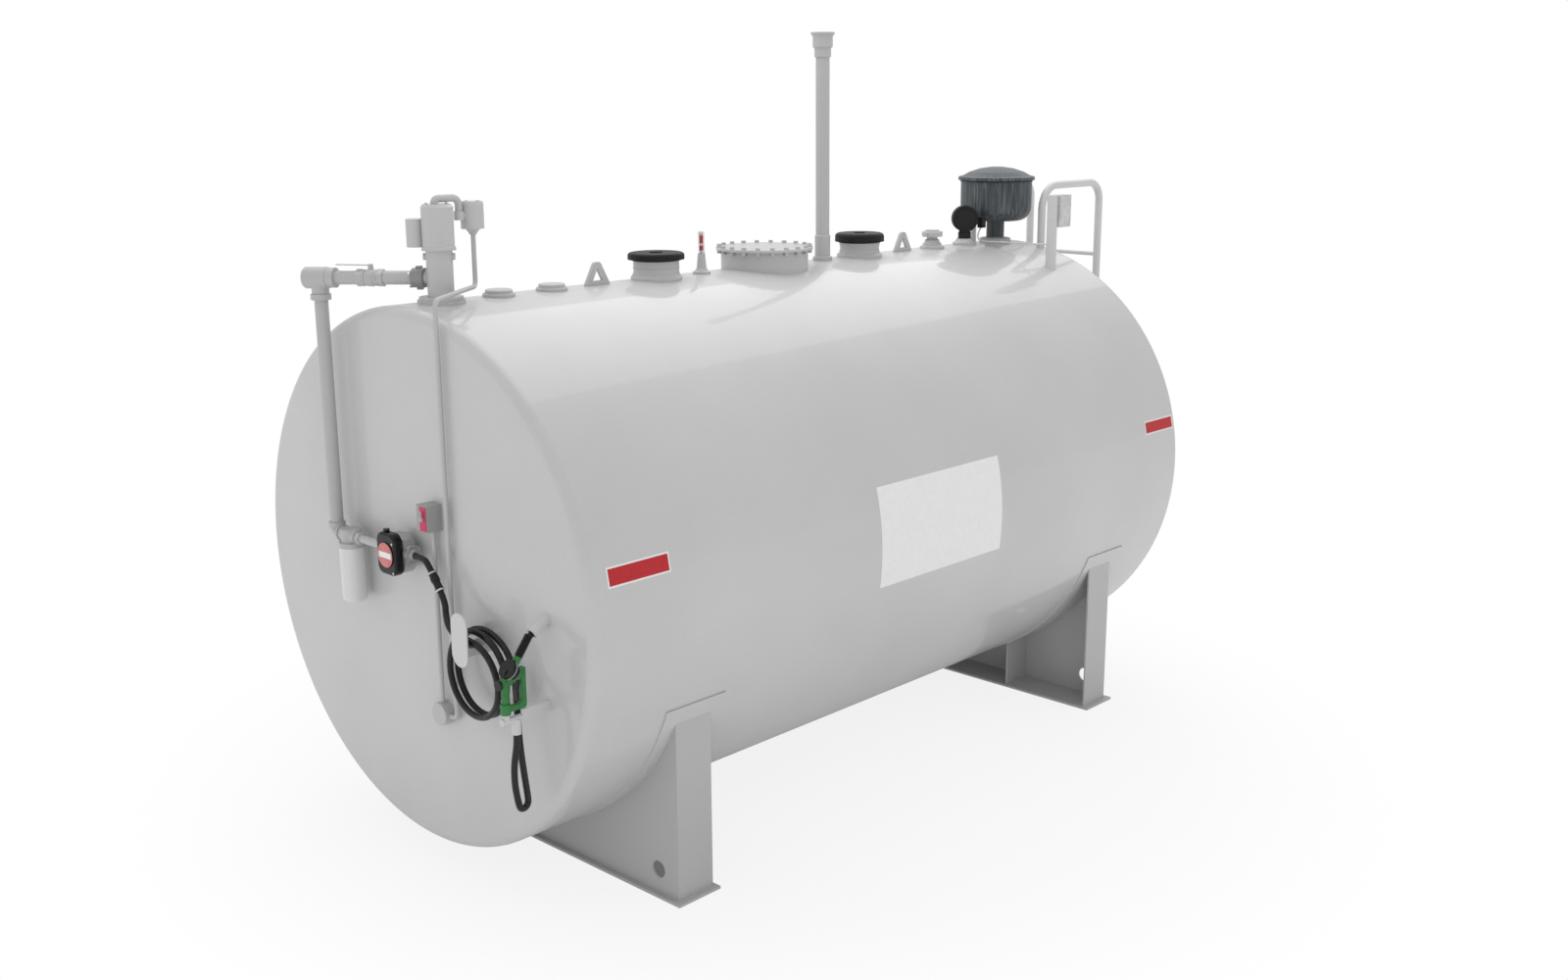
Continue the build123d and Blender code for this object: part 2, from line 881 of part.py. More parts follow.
def hose(points, name):
    """One hose piece, with its length and tightest bend printed."""
    radii = bend_radii(points)
    piece = swept(points, radii, HOSE_D)
    length = piece.part.volume / (math.pi * HOSE_D**2 / 4)
    print(name, "length", round(length), "bend radii", [round(radius) for radius in radii])
    return piece


supply_hose = hose(supply_points, "supply_hose")
save(supply_hose, "supply_hose")
hose_coil = hose(coil_points, "hose_coil")
save(hose_coil, "hose_coil")
hose_loop = hose(loop_points, "hose_loop")
save(hose_loop, "hose_loop")

BREAK_LENGTH = (Vector(*BREAK_LOW) - Vector(*BREAK_TOP)).length
break_plane = turning_plane(BREAK_TOP, Vector(*BREAK_LOW) - Vector(*BREAK_TOP))
breakaway = turned(
    break_plane,
    (
        (15, 0),
        (17.5, 3),
        (17.5, 22),
        (20, 24),
        (20, 44),
        (17, 46),
        (17, BREAK_LENGTH - 20),
        (19, BREAK_LENGTH - 18),
        (19, BREAK_LENGTH - 4),
        (15, BREAK_LENGTH),
    ),
)
save(breakaway, "breakaway")


# Hose hanger: a shelf from the head with a keeper plate
HANGER_Y = -532.0
with BuildPart() as hose_hanger:
    with BuildSketch(Plane.YZ.offset(-2369)):
        with Locations((HANGER_Y, 1250)):
            SlotOverall(235, 110, rotation=90)
    extrude(amount=6)
    with BuildSketch(Plane.YZ.offset(-2363)):
        with BuildLine():
            ThreePointArc((HANGER_Y - 48, 1221), (HANGER_Y - 8, 1231), (HANGER_Y + 44, 1219))
            Polyline(
                (HANGER_Y + 44, 1219),
                (HANGER_Y + 44, 1186),
                (HANGER_Y - 48, 1186),
                (HANGER_Y - 48, 1221),
            )
        make_face()
    extrude(amount=2363 - HEAD_X)
save(hose_hanger, "hose_hanger")


# Nozzle in its holder on the near head
NOZZLE_Y = -925.0
NOZZLE_HALF = 11.0
NOZZLE_LOW = 1049.0
HANDLE_OUT = 221.0


def out(distance):
    """X of a point at a distance in front of the near head."""
    return -HEAD_X - distance


boot_plane = turning_plane((out(102), NOZZLE_Y, 1334), (-65, 0, -85))
valve_plane = turning_plane((out(172), NOZZLE_Y, 1212), (-80, 0, 60))
nozzle_neck = turned(boot_plane, ((16.5, 78), (16.5, 128)))
nozzle_valve = turned(valve_plane, ((31, 0), (31, 26), (40, 28), (40, 46)))
with BuildPart() as nozzle_body:
    with BuildSketch(Plane.XZ.offset(-NOZZLE_Y - NOZZLE_HALF)):
        with BuildLine():
            Polyline(
                (out(123), 1228),
                (out(123), 1066),
                (out(134), 1057),
                (out(222), 1057),
                (out(222), 1165),
                (out(240), 1190),
                (out(222), 1230),
                (out(186), 1256),
                (out(150), 1228),
                close=True,
            )
        make_face()
        with BuildLine():
            Polyline(
                (out(206), 1079),
                (out(156), 1079),
                (out(143), 1096),
                (out(143), 1196),
                (out(206), 1163),
                close=True,
            )
        make_face(mode=Mode.SUBTRACT)
    extrude(amount=2 * NOZZLE_HALF)
    fillet(nozzle_body.edges().filter_by(Axis.Y), 5)
    add(nozzle_neck.part)
    add(nozzle_valve.part)
    with Locations((out(HANDLE_OUT), NOZZLE_Y, NOZZLE_LOW)):
        Cylinder(15, 140, align=(Align.CENTER, Align.CENTER, Align.MIN))
        Cylinder(21, 44, align=(Align.CENTER, Align.CENTER, Align.MIN))
    with Locations(Location((out(257), NOZZLE_Y, 1178), (0, 90, 0))):
        Cylinder(21, 12, align=(Align.CENTER, Align.CENTER, Align.MIN))
        Cylinder(10, 34, align=(Align.CENTER, Align.CENTER, Align.MIN))
save(nozzle_body, "nozzle_body")

with BuildPart() as nozzle_trigger:
    with BuildSketch(Plane.XZ.offset(-NOZZLE_Y - 8)):
        with BuildLine():
            Polyline(
                (out(151), 1178),
                (out(164), 1176),
                (out(171), 1140),
                (out(168), 1092),
                (out(158), 1092),
                (out(160), 1140),
                (out(151), 1160),
                close=True,
            )
        make_face()
    extrude(amount=16)
save(nozzle_trigger, "nozzle_trigger")

SLEEVE_IN = Vector(-HEAD_X, NOZZLE_Y, 1397)
SLEEVE_OUT = Vector(out(78), NOZZLE_Y, 1351)
spout_tip = swept(
    (
        (out(24), NOZZLE_Y, 1382.8),
        (out(98), NOZZLE_Y, 1339),
        (out(163), NOZZLE_Y, 1254),
    ),
    (60,),
    25.0,
)
boot_blank = turned(boot_plane, ((14, -20), (15, -10), (15, 78)))
with BuildPart() as nozzle_spout:
    add(spout_tip.part)
    add(boot_blank.part)
    add(nozzle_body.part, mode=Mode.SUBTRACT)
save(nozzle_spout, "nozzle_spout")

sleeve_blank = turned(turning_plane(SLEEVE_IN, SLEEVE_OUT - SLEEVE_IN), ((24, -30), (24, 90)), bore=16.5)
with BuildPart() as nozzle_holder:
    add(sleeve_blank.part)
    with Locations((-HEAD_X, NOZZLE_Y, 1397)):
        Box(400, 400, 400, align=(Align.MIN, Align.CENTER, Align.CENTER), mode=Mode.SUBTRACT)
    with Locations((-HEAD_X, NOZZLE_Y, 1003)):
        Box(145, 8, 46, align=(Align.MAX, Align.CENTER, Align.MIN))
save(nozzle_holder, "nozzle_holder")

with BuildPart() as hose_swivel:
    with Locations((out(HANDLE_OUT), NOZZLE_Y, 1018)):
        Cylinder(15, 31, align=(Align.CENTER, Align.CENTER, Align.MIN))
    with Locations(Location((out(198), NOZZLE_Y, 1018), (0, 90, 0))):
        Cylinder(15, 92)
    with Locations((SWIVEL_END[0], NOZZLE_Y, SWIVEL_END[2])):
        Cylinder(20, 65, align=(Align.CENTER, Align.CENTER, Align.MIN))
save(hose_swivel, "hose_swivel")


# Pump switch with its handle
SWITCH_HIGH = 1757.0
SWITCH_PLATE_Y = -213.0
SWITCH_PLATE_Z = 1700.0
SWITCH_FRONT = -2297.0
with BuildPart() as switch_box:
    with Locations((-HEAD_X, SWITCH_Y, SWITCH_LOW)):
        Box(
            -HEAD_X - SWITCH_FRONT,
            75,
            SWITCH_HIGH - SWITCH_LOW,
            align=(Align.MAX, Align.CENTER, Align.MIN),
        )
    fillet(switch_box.edges().group_by(Axis.X)[0], 5)
    with Locations((SWITCH_FRONT, SWITCH_PLATE_Y, SWITCH_PLATE_Z)):
        Box(4, 44, 106, align=(Align.MAX, Align.CENTER, Align.CENTER))
save(switch_box, "switch_box")

with BuildPart() as switch_lever:
    with Locations(Location((SWITCH_FRONT - 5, SWITCH_PLATE_Y, SWITCH_PLATE_Z), (0, -90, 0))):
        Cylinder(9, 10, align=(Align.CENTER, Align.CENTER, Align.MIN))
    with Locations((SWITCH_FRONT - 9.5, SWITCH_PLATE_Y, SWITCH_PLATE_Z)):
        Box(5, 9, 36, align=(Align.MAX, Align.CENTER, Align.MIN))
save(switch_lever, "switch_lever")


# Ladder at the far head with handrails that reach over the top
RAIL_D = 46.0
RAIL_Y = 257.0
RAIL_INNER_X = 2145.0
RAIL_OUTER_X = 2763.0
RAIL_TOP = 2911.0
LADDER_LOW = 150.0
RUNG_GAP = 304.8
RUNG_COUNT = 8


def ladder_rail(y):
    """Side rail that climbs past the head, turns over and lands on the shell."""
    bar = swept(
        (
            (RAIL_INNER_X, y, 2450),
            (RAIL_INNER_X, y, RAIL_TOP),
            (RAIL_OUTER_X, y, RAIL_TOP),
            (RAIL_OUTER_X, y, LADDER_LOW),
        ),
        (140, 112),
        RAIL_D,
    )
    with BuildPart() as rail:
        add(bar.part)
        trim_to_shell()
    return rail


ladder_rails = gathered(ladder_rail(-RAIL_Y), ladder_rail(RAIL_Y))
save(ladder_rails, "ladder_rails")

with BuildPart() as ladder_rungs:
    for rung in range(RUNG_COUNT):
        with Locations(Location((RAIL_OUTER_X, 0, 330 + rung * RUNG_GAP), (90, 0, 0))):
            Cylinder(12.7, 2 * RAIL_Y)
    for rail_y in (-RAIL_Y, RAIL_Y):
        with Locations((RAIL_OUTER_X, rail_y, 1400)):
            Cylinder(RAIL_D / 2, 3000, mode=Mode.SUBTRACT)
save(ladder_rungs, "ladder_rungs")

BRACKET_Z = (640.0, 1980.0)
with BuildPart() as ladder_brackets:
    for bracket_z in BRACKET_Z:
        for bracket_y in (-RAIL_Y, RAIL_Y):
            with Locations((HEAD_X, bracket_y, bracket_z)):
                Box(
                    RAIL_OUTER_X - HEAD_X,
                    10,
                    50,
                    align=(Align.MIN, Align.CENTER, Align.CENTER),
                )
    for rail_y in (-RAIL_Y, RAIL_Y):
        with Locations((RAIL_OUTER_X, rail_y, 1400)):
            Cylinder(RAIL_D / 2, 3000, mode=Mode.SUBTRACT)
save(ladder_brackets, "ladder_brackets")


# Overfill alarm on its post
ALARM_X = 1875.0
ALARM_Y = -515.0
ALARM_TOP = 2878.0
alarm_post = on_shell(ALARM_X, ((30, 2400), (30, ALARM_TOP)), y=ALARM_Y)
save(alarm_post, "alarm_post")

with BuildPart() as alarm_box:
    with Locations((ALARM_X + 75, ALARM_Y, 2786.5)):
        Box(110, 80, 183)
    with Locations((ALARM_X, ALARM_Y, 2786.5)):
        Cylinder(30, 200, mode=Mode.SUBTRACT)
save(alarm_box, "alarm_box")
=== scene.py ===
import math
import bmesh
import bpy
from mathutils import Matrix, Vector


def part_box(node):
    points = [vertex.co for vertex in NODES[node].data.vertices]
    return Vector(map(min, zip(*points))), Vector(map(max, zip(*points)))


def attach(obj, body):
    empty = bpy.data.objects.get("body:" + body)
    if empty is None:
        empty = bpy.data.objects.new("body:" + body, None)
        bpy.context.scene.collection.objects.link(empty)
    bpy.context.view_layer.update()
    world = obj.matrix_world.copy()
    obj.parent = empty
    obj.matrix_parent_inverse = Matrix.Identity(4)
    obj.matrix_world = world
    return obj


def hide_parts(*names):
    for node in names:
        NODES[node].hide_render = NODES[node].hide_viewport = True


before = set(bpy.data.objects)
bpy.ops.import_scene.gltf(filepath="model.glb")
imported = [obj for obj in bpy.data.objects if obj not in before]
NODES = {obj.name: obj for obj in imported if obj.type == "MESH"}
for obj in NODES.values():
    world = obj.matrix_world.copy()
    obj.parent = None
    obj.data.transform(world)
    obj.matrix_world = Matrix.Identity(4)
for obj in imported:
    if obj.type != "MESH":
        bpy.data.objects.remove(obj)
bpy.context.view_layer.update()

TANK = "tank"

# Sizes of the tank, in metres
TANK_R = 1.2192
AXIS_Z = 1.3579
HEAD_X = -2.216

# Nozzle: its valve, the cap on the valve's end and the air port
NOZZLE_Y = -0.925
VALVE_FOOT = Vector((HEAD_X - 0.172, NOZZLE_Y, 1.212))
VALVE_WAY = Vector((-0.8, 0, 0.6))
VALVE_SEAM = 0.0265
VALVE_CAP_AT = 0.037
VALVE_CAP_R = 0.0435
VALVE_SIDE_AT = 0.010
VALVE_SIDE_R = 0.0345
VALVE_SIDE_Y = 0.0125
PORT = Vector((HEAD_X - 0.251, NOZZLE_Y, 1.178))
PORT_SEAM = -0.0065
PORT_R = 0.024

# Pump and the hammer union in its discharge line
PUMP_X = -1.997
LINE_Z = 2.684
UNION_WAY = Vector((-293, 490, -11)).normalized()
UNION_START = 0.067
UNION_END = 0.127
UNION_BOLTS_AT = 0.129

# Switch box's front and the top of the spill neck's weld collar
SWITCH_FRONT_X = -2.2972
COLLAR_TOP_Z = 2.6045


# Camera at the photograph's viewing angle
CAMERA_PLACE = (-6.0779, -5.9124, 3.4397)
CAMERA_TURN = math.radians(43.4898)
CAMERA_TILT = math.radians(13.6467)
CAMERA_ROLL = math.radians(-0.2559)
CAMERA_LENS = 37.241


def place_camera():
    level_way = Vector((math.cos(CAMERA_TURN), math.sin(CAMERA_TURN), 0))
    ahead = level_way * math.cos(CAMERA_TILT) - Vector((0, 0, math.sin(CAMERA_TILT)))
    side = ahead.cross(Vector((0, 0, 1))).normalized()
    lift = side.cross(ahead)
    right = side * math.cos(CAMERA_ROLL) + lift * math.sin(CAMERA_ROLL)
    above = lift * math.cos(CAMERA_ROLL) - side * math.sin(CAMERA_ROLL)
    data = bpy.data.cameras.new("camera")
    data.lens = CAMERA_LENS
    data.sensor_width = 36
    data.clip_end = 200
    eye = bpy.data.objects.new("camera", data)
    eye.matrix_world = Matrix.Translation(CAMERA_PLACE) @ Matrix(
        (right, above, -ahead)
    ).transposed().to_4x4()
    bpy.context.scene.collection.objects.link(eye)
    bpy.context.scene.camera = eye


place_camera()


# Node materials
class Finish:
    """One procedural material, built from a few chained nodes."""

    def __init__(self, name, colour, roughness=0.5, metallic=0.0):
        self.material = bpy.data.materials.new(name)
        self.material.use_nodes = True
        self.tree = self.material.node_tree
        self.shader = self.tree.nodes["Principled BSDF"]
        self.shader.inputs["Base Color"].default_value = (*colour, 1)
        self.shader.inputs["Roughness"].default_value = roughness
        self.shader.inputs["Metallic"].default_value = metallic
        self.coords = self.tree.nodes.new("ShaderNodeTexCoord")

    def noise(self, scale, detail=4.0, stretch=(1, 1, 1)):
        """Noise on Object coordinates, stretched along the axes."""
        mapping = self.tree.nodes.new("ShaderNodeMapping")
        mapping.inputs["Scale"].default_value = stretch
        self.tree.links.new(self.coords.outputs["Object"], mapping.inputs["Vector"])
        texture = self.tree.nodes.new("ShaderNodeTexNoise")
        texture.inputs["Scale"].default_value = scale
        texture.inputs["Detail"].default_value = detail
        self.tree.links.new(mapping.outputs["Vector"], texture.inputs["Vector"])
        return texture.outputs["Fac"]

    def ramp(self, factor, stops):
        """Colour ramp over a factor."""
        ramp = self.tree.nodes.new("ShaderNodeValToRGB")
        elements = ramp.color_ramp.elements
        for element, (place, colour) in zip(elements, (stops[0], stops[-1])):
            element.position = place
            element.color = (*colour, 1)
        for place, colour in stops[1:-1]:
            element = elements.new(place)
            element.color = (*colour, 1)
        self.tree.links.new(factor, ramp.inputs["Fac"])
        return ramp.outputs["Color"]

    def colour(self, factor, stops):
        self.tree.links.new(self.ramp(factor, stops), self.shader.inputs["Base Color"])
        return self

    def rough(self, factor, low, high):
        spread = self.tree.nodes.new("ShaderNodeMapRange")
        spread.inputs["To Min"].default_value = low
        spread.inputs["To Max"].default_value = high
        self.tree.links.new(factor, spread.inputs["Value"])
        self.tree.links.new(spread.outputs["Result"], self.shader.inputs["Roughness"])
        return self

    def bump(self, factor, strength, distance):
        bump = self.tree.nodes.new("ShaderNodeBump")
        bump.inputs["Strength"].default_value = strength
        bump.inputs["Distance"].default_value = distance
        self.tree.links.new(factor, bump.inputs["Height"])
        self.tree.links.new(bump.outputs["Normal"], self.shader.inputs["Normal"])
        return self

    def along(self, origin, direction):
        """Distance along a direction from a point, in metres."""
        way = Vector(direction).normalized()
        dot = self.tree.nodes.new("ShaderNodeVectorMath")
        dot.operation = "DOT_PRODUCT"
        dot.inputs[1].default_value = way
        self.tree.links.new(self.coords.outputs["Object"], dot.inputs[0])
        return self.sum(dot.outputs["Value"], "SUBTRACT", way.dot(Vector(origin)))

    def near(self, centre, radius):
        """1 inside a ball around a point, else 0."""
        gap = self.tree.nodes.new("ShaderNodeVectorMath")
        gap.operation = "DISTANCE"
        gap.inputs[1].default_value = centre
        self.tree.links.new(self.coords.outputs["Object"], gap.inputs[0])
        return self.sum(gap.outputs["Value"], "LESS_THAN", radius)

    def sum(self, first, operation, second):
        """One step of arithmetic on a factor."""
        step = self.tree.nodes.new("ShaderNodeMath")
        step.operation = operation
        self.tree.links.new(first, step.inputs[0])
        if isinstance(second, (int, float)):
            step.inputs[1].default_value = second
        else:
            self.tree.links.new(second, step.inputs[1])
        return step.outputs["Value"]

    def patch(self, mask, colour):
        """Another flat colour where the mask is 1, over the colour so far."""
        mix = self.tree.nodes.new("ShaderNodeMix")
        mix.data_type = "RGBA"
        base = self.shader.inputs["Base Color"]
        under = mix.inputs[6]
        if base.links:
            self.tree.links.new(base.links[0].from_socket, under)
        else:
            under.default_value = base.default_value
        mix.inputs[7].default_value = (*colour, 1)
        self.tree.links.new(mask, mix.inputs[0])
        self.tree.links.new(mix.outputs[2], base)
        return self

    def coat(self, weight, roughness):
        self.shader.inputs["Coat Weight"].default_value = weight
        self.shader.inputs["Coat Roughness"].default_value = roughness
        return self


def grey(level, warmth=0.0):
    return (level + warmth, level, level - warmth)


def enamel_finish(name, level, roughness=0.42, shine=0.5):
    """Sprayed light grey enamel with faint clouding and orange peel."""
    finish = Finish(name, grey(level), roughness)
    clouds = finish.sum(finish.noise(1.3, 6.0), "MULTIPLY", 0.6)
    speckle = finish.sum(finish.noise(170.0, 2.0), "MULTIPLY", 0.4)
    shades = ((0.38, grey(level * 0.955)), (0.62, grey(level * 1.03)))
    finish.colour(finish.sum(clouds, "ADD", speckle), shades)
    finish.rough(finish.noise(9.0), roughness - 0.05, roughness + 0.06)
    finish.bump(finish.noise(230.0, 2.0), 0.05, 0.0004)
    return finish.coat(shine, 0.06)


def enamel(name, level, roughness=0.42, shine=0.5):
    return enamel_finish(name, level, roughness, shine).material


def plastic_finish(name, colour, roughness=0.45, grain=420.0, spread=0.12):
    """Moulded plastic with a fine grain and slight shade variation."""
    finish = Finish(name, colour, roughness)
    finish.shader.inputs["Specular IOR Level"].default_value = 0.34
    dim = tuple(channel * (1 - spread) for channel in colour)
    lit = tuple(min(1.0, channel * (1 + spread)) for channel in colour)
    finish.colour(finish.noise(35.0), ((0.35, dim), (0.65, lit)))
    finish.rough(finish.noise(60.0), roughness - 0.06, roughness + 0.08)
    return finish.bump(finish.noise(grain, 3.0), 0.12, 0.0004)


def plain_plastic(name, colour, roughness=0.45, grain=420.0, spread=0.12):
    return plastic_finish(name, colour, roughness, grain, spread).material


def cast_metal(name, level, roughness=0.42, metallic=0.85):
    """Cast or machined light metal with a sandy skin."""
    finish = Finish(name, grey(level), roughness, metallic)
    finish.colour(finish.noise(28.0), ((0.3, grey(level * 0.86)), (0.7, grey(level * 1.06))))
    finish.rough(finish.noise(90.0), roughness - 0.08, roughness + 0.12)
    return finish.bump(finish.noise(650.0, 3.0), 0.18, 0.0003).material


def hose_rubber():
    """Black hose cover with a soft shine."""
    finish = Finish("hose_rubber", grey(0.008), 0.30)
    finish.shader.inputs["Specular IOR Level"].default_value = 0.36
    finish.colour(finish.noise(22.0), ((0.35, grey(0.005)), (0.7, grey(0.013))))
    finish.rough(finish.noise(70.0), 0.20, 0.36)
    return finish.bump(finish.noise(500.0, 2.0), 0.10, 0.0003).material


def streaked_drum(name="streaked_drum"):
    """Dark blue-grey paint with fine upright streaks."""
    finish = Finish(name, (0.05, 0.058, 0.064), 0.44)
    streaks = finish.noise(95.0, 5.0, (1, 1, 0.07))
    finish.colour(
        streaks,
        (
            (0.30, (0.022, 0.027, 0.031)),
            (0.50, (0.055, 0.066, 0.075)),
            (0.72, (0.135, 0.155, 0.170)),
        ),
    )
    finish.rough(streaks, 0.34, 0.60)
    return finish.bump(streaks, 0.35, 0.0008)


def nozzle_green():
    """Green moulded cover with black caps on the valve and the air port."""
    finish = plastic_finish("nozzle_green", (0.030, 0.190, 0.050), 0.40)
    black = (0.008, 0.008, 0.008)
    front = finish.sum(finish.along(VALVE_FOOT, VALVE_WAY), "GREATER_THAN", VALVE_SEAM)
    cap = finish.near(VALVE_FOOT + VALVE_WAY * VALVE_CAP_AT, VALVE_CAP_R)
    finish.patch(finish.sum(front, "MULTIPLY", cap), black)
    aside = finish.sum(finish.along(VALVE_FOOT, (0, 1, 0)), "ABSOLUTE", 0.0)
    clear = finish.sum(aside, "GREATER_THAN", VALVE_SIDE_Y)
    round_side = finish.near(VALVE_FOOT + VALVE_WAY * VALVE_SIDE_AT, VALVE_SIDE_R)
    finish.patch(finish.sum(clear, "MULTIPLY", round_side), black)
    ahead = finish.sum(finish.along(PORT, (-1, 0, 0)), "GREATER_THAN", PORT_SEAM)
    port = finish.near(PORT, PORT_R)
    return finish.patch(finish.sum(ahead, "MULTIPLY", port), black).material


def switch_grey():
    """Grey box with a pink-red plate on its front."""
    finish = enamel_finish("switch_grey", 0.36, 0.50, 0.2)
    ahead = finish.along((SWITCH_FRONT_X, 0, 0), (-1, 0, 0))
    return finish.patch(finish.sum(ahead, "GREATER_THAN", 0.0), (0.58, 0.02, 0.10)).material


def union_grey():
    """Line paint with the dark iron of the hammer union."""
    finish = enamel_finish("union_grey", 0.47, 0.46, 0.25)
    away = finish.along((PUMP_X, 0, LINE_Z), UNION_WAY)
    iron = finish.sum(away, "GREATER_THAN", UNION_START)
    short = finish.sum(away, "LESS_THAN", UNION_END)
    return finish.patch(finish.sum(iron, "MULTIPLY", short), grey(0.26)).material


def drum_neck():
    """Streaked riser above a light weld collar."""
    finish = streaked_drum("drum_neck")
    below = finish.sum(finish.along((0, 0, COLLAR_TOP_Z), (0, 0, 1)), "LESS_THAN", 0.0)
    return finish.patch(below, grey(0.5)).material


def crinkled_black(name, level=0.012):
    """Black crinkle-finish coating."""
    finish = Finish(name, grey(level), 0.55)
    finish.shader.inputs["Specular IOR Level"].default_value = 0.22
    wrinkles = finish.noise(260.0, 5.0)
    finish.colour(wrinkles, ((0.35, grey(level * 0.6)), (0.70, grey(level * 2.2))))
    finish.rough(finish.noise(80.0), 0.45, 0.65)
    return finish.bump(wrinkles, 0.55, 0.0009).material


def clear_plastic():
    """Clear moulded plastic of the gauge's sight tube."""
    finish = Finish("clear_plastic", (0.95, 0.95, 0.95), 0.06)
    finish.shader.inputs["Transmission Weight"].default_value = 1.0
    finish.shader.inputs["IOR"].default_value = 1.46
    return finish.bump(finish.noise(60.0), 0.03, 0.0004).material


TANK_GREY = enamel("tank_grey", 0.57)
SADDLE_GREY = enamel("saddle_grey", 0.49, 0.46, 0.35)
FITTING_GREY = enamel("fitting_grey", 0.50, 0.48, 0.25)
PUMP_GREY = enamel("pump_grey", 0.53, 0.50, 0.2)
LINE_GREY = enamel("line_grey", 0.47, 0.46, 0.25)
WHITE_PAINT = enamel("white_paint", 0.72, 0.40, 0.4)
RAIL_GREY = enamel("rail_grey", 0.60, 0.42, 0.3)
SWITCH_GREY = switch_grey()
UNION_GREY = union_grey()
NECK_DARK = drum_neck()
ALARM_GREY = plain_plastic("alarm_grey", grey(0.58), 0.5)
CAP_BLACK = crinkled_black("cap_black", 0.010)
GAUGE_BLACK = crinkled_black("gauge_black", 0.013)
COVER_BLACK = plain_plastic("cover_black", grey(0.003), 0.30)
PART_BLACK = plain_plastic("part_black", grey(0.007), 0.42)
GREEN = nozzle_green()
GLOSS_BLACK = plain_plastic("gloss_black", grey(0.010), 0.16)
LEVER_GREY = plain_plastic("lever_grey", grey(0.42), 0.45)
LABEL_RED = plain_plastic("label_red", (0.62, 0.20, 0.20), 0.45, 900.0)
SIGN_RED = plain_plastic("sign_red", (0.50, 0.015, 0.022), 0.42, 900.0, 0.04)
SIGN_WHITE = plain_plastic("sign_white", grey(0.86), 0.42, 900.0, 0.015)
TAG_YELLOW = plain_plastic("tag_yellow", (0.50, 0.42, 0.03), 0.40)
FLOAT_RED = plain_plastic("float_red", (0.62, 0.01, 0.015), 0.35)
CAST = cast_metal("cast_metal", 0.52)
STEEL = cast_metal("turned_steel", 0.62, 0.26, 1.0)
SWIVEL_WHITE = enamel("swivel_white", 0.60, 0.38, 0.4)
RUBBER = hose_rubber()
DRUM = streaked_drum().material
CLEAR = clear_plastic()

NODE_FINISH = {
    TANK_GREY: ("tank_shell", "near_head", "far_head", "near_wear_plate", "far_wear_plate"),
    SADDLE_GREY: ("saddle_webs", "saddle_ribs", "saddle_feet"),
    FITTING_GREY: (
        "manway_neck",
        "manway_cover",
        "near_vent_neck",
        "far_vent_neck",
        "lifting_lugs",
        "spare_plugs",
        "fill_adapter",
        "fill_cap",
        "level_gauge",
        "tank_gauge_fitting",
        "conduits",
        "conduit_box",
        "meter_pipe",
    ),
    PUMP_GREY: ("pump_riser", "pump_head", "pump_junction_box"),
    UNION_GREY: ("discharge_pipe",),
    NECK_DARK: ("spill_neck",),
    LINE_GREY: (
        "ball_valve",
        "valve_lever",
        "discharge_tee",
        "down_pipe",
        "filter_head",
        "vent_pipe",
        "vent_pipe_cap",
    ),
    WHITE_PAINT: ("filter_canister",),
    RAIL_GREY: (
        "ladder_rails",
        "ladder_rungs",
        "ladder_brackets",
        "alarm_post",
        "hose_hanger",
        "nozzle_holder",
    ),
    SWITCH_GREY: ("switch_box",),
    ALARM_GREY: ("alarm_box",),
    CAP_BLACK: ("near_vent_cap", "far_vent_cap"),
    GAUGE_BLACK: ("tank_gauge",),
    COVER_BLACK: ("meter_cover",),
    PART_BLACK: ("nozzle_trigger", "nozzle_spout"),
    GLOSS_BLACK: ("breakaway",),
    GREEN: ("nozzle_body",),
    LEVER_GREY: ("switch_lever",),
    CAST: ("meter_body",),
    SWIVEL_WHITE: ("hose_swivel",),
    RUBBER: ("supply_hose", "hose_coil", "hose_loop"),
    DRUM: ("spill_container", "spill_lid"),
    CLEAR: ("level_gauge_dome",),
}

for finish, names in NODE_FINISH.items():
    for name in names:
        for material_slot in NODES[name].material_slots:
            material_slot.material = finish


# Hose: the route in metres, from the meter to the swivel
HOSE_X = -2.290
HOSE_Z = 1.520
HOSE_D = 0.028
BREAK_TOP = Vector((HOSE_X, -0.245, 1.470))
BREAK_LOW = Vector((HOSE_X, -0.302, 1.397))
BREAK_WAY = (BREAK_LOW - BREAK_TOP).normalized()
BREAK_LENGTH = (BREAK_LOW - BREAK_TOP).length
BREAK_STUB_TOP = 0.042
BREAK_STUB_LOW = 0.045
COIL_Y = -0.552
COIL_Z = 1.091
COIL_R = 0.190
COIL_FIRST_R = (0.158, 0.164, 0.173, 0.183)
COIL_STEPS = 12
COIL_START_X = -2.338
COIL_PITCH = 0.040
COIL_END_STEP = 25
LOOP_X = -2.355
LOOP_Y = -0.911
LOOP_Y_STEP = 0.003
LOOP_Z = 0.640
LOOP_START_DEG = -151
LOOP_STEP_DEG = 36
LOOP_CORNER_R = 0.0294
LOOP_CORNERS = 5


def coil_point(step):
    """Point on the coil, clockwise from its top as seen from outside."""
    angle = 2 * math.pi * step / COIL_STEPS
    radius = COIL_FIRST_R[step] if step < len(COIL_FIRST_R) else COIL_R
    return (
        COIL_START_X + COIL_PITCH * step / COIL_STEPS,
        COIL_Y - radius * math.sin(angle),
        COIL_Z + radius * math.cos(angle),
    )


def loop_corner(corner):
    """Point of the turn at the bottom of the hanging loop."""
    angle = math.radians(LOOP_START_DEG + LOOP_STEP_DEG * corner)
    return (
        LOOP_X + LOOP_CORNER_R * math.cos(angle),
        LOOP_Y + LOOP_Y_STEP * corner,
        LOOP_Z + LOOP_CORNER_R * math.sin(angle),
    )


